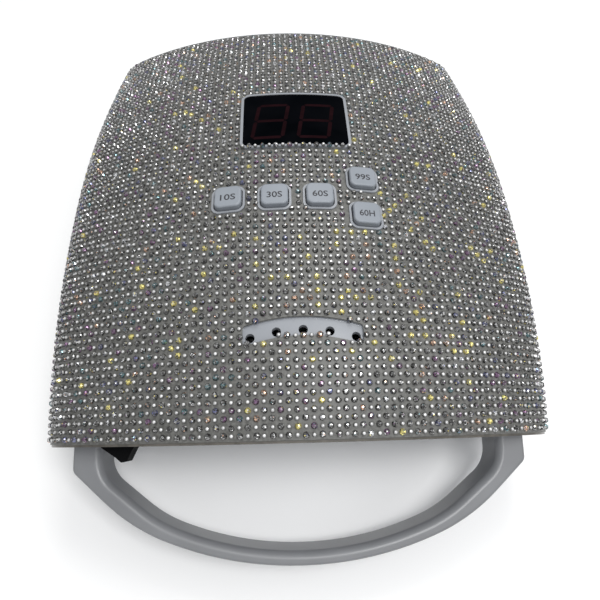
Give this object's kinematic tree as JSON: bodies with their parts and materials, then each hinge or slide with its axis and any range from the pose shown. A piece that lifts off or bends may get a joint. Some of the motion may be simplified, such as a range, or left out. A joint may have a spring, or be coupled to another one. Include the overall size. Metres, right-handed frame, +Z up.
{
  "type": "uv curing lamp",
  "caption": "Cordless nail gel curing lamp with a crystal covered dome, timer keys, dark display, hand tunnel with light domes, rear carrying handle and a lift-off tray.",
  "frame": {"origin": "on the table, under the middle of the whole lamp's box", "axes": "+Z up; +Y towards the mouth the hand goes in; -Y towards the carrying handle; +X right as seen from the handle's side"},
  "size_m": [0.2134, 0.289, 0.1081],
  "materials": {
    "crystals": "faceted iridescent crystals and silver beads on a grey ground",
    "grey_shell": "moulded, satin gloss",
    "handle_grey": "moulded, satin gloss",
    "key_grey": "fine satin",
    "smoked_window": "polished, nearly black",
    "black_plastic": "fine matt",
    "circuit_board": "solder mask",
    "screw_steel": "machined",
    "bright_liner": "bright white",
    "led_lens": "clear domes over yellow dies",
    "sensor_lens": "dark red tinted",
    "cell_can": "sleeved",
    "mirror_sheet": "bright",
    "foot_rubber": "matt",
    "magnet_plate": "nickel plated"
  },
  "bodies": {
    "tray": {"base_tray": "grey_shell", "tray_mirror": "mirror_sheet", "rubber_feet": "foot_rubber", "tray_magnets": "magnet_plate"},
    "lamp": {"crystal_sheet": "crystals", "top_shell": "grey_shell", "display_bezel": "grey_shell", "display_window": "smoked_window", "display_module": "black_plastic", "vent_grille": "grey_shell", "tact_switches": "black_plastic", "control_board": "circuit_board", "board_screws": "screw_steel", "hand_tunnel": "bright_liner", "light_sources": "led_lens", "top_lamp_board": "circuit_board", "side_lamp_boards": "circuit_board", "rear_lamp_board": "circuit_board", "hand_sensors": "sensor_lens", "mouth_bezel": "grey_shell", "battery_cells": "cell_can", "battery_holder": "black_plastic", "base_ring": "grey_shell", "shell_screws": "screw_steel", "rear_panel": "grey_shell", "carry_handle": "handle_grey", "handle_screws": "screw_steel", "power_switch_body": "black_plastic", "charge_inlet": "black_plastic", "charge_board": "circuit_board", "ring_magnets": "magnet_plate"},
    "rocker": {"power_rocker": "black_plastic"},
    "key_10s": {"button_10s": "key_grey"},
    "key_30s": {"button_30s": "key_grey"},
    "key_60s": {"button_60s": "key_grey"},
    "key_99s": {"button_99s": "key_grey"},
    "key_60h": {"button_60h": "key_grey"}
  },
  "joints": [
    {"name": "lamp_lift", "type": "slide", "parent": "tray", "child": "lamp", "axis": [0, 0, 1], "range_m": [0, 0.06]},
    {"name": "key_10s_press", "type": "slide", "parent": "lamp", "child": "key_10s", "axis": [0, 0, -1], "range_m": [0, 0.0008], "stiffness_N_per_m": 600},
    {"name": "key_30s_press", "type": "slide", "parent": "lamp", "child": "key_30s", "axis": [0, 0, -1], "range_m": [0, 0.0008], "stiffness_N_per_m": 600},
    {"name": "key_60s_press", "type": "slide", "parent": "lamp", "child": "key_60s", "axis": [0, 0, -1], "range_m": [0, 0.0008], "stiffness_N_per_m": 600},
    {"name": "key_99s_press", "type": "slide", "parent": "lamp", "child": "key_99s", "axis": [0, 0, -1], "range_m": [0, 0.0008], "stiffness_N_per_m": 600},
    {"name": "key_60h_press", "type": "slide", "parent": "lamp", "child": "key_60h", "axis": [0, 0, -1], "range_m": [0, 0.0008], "stiffness_N_per_m": 600},
    {"name": "rocker_tilt", "type": "hinge", "parent": "lamp", "child": "rocker", "pos_m": [-0.0728, -0.09718, 0.05518], "axis": [0, -0.2974, 0.9548], "range_deg": [0, 24]}
  ]
}
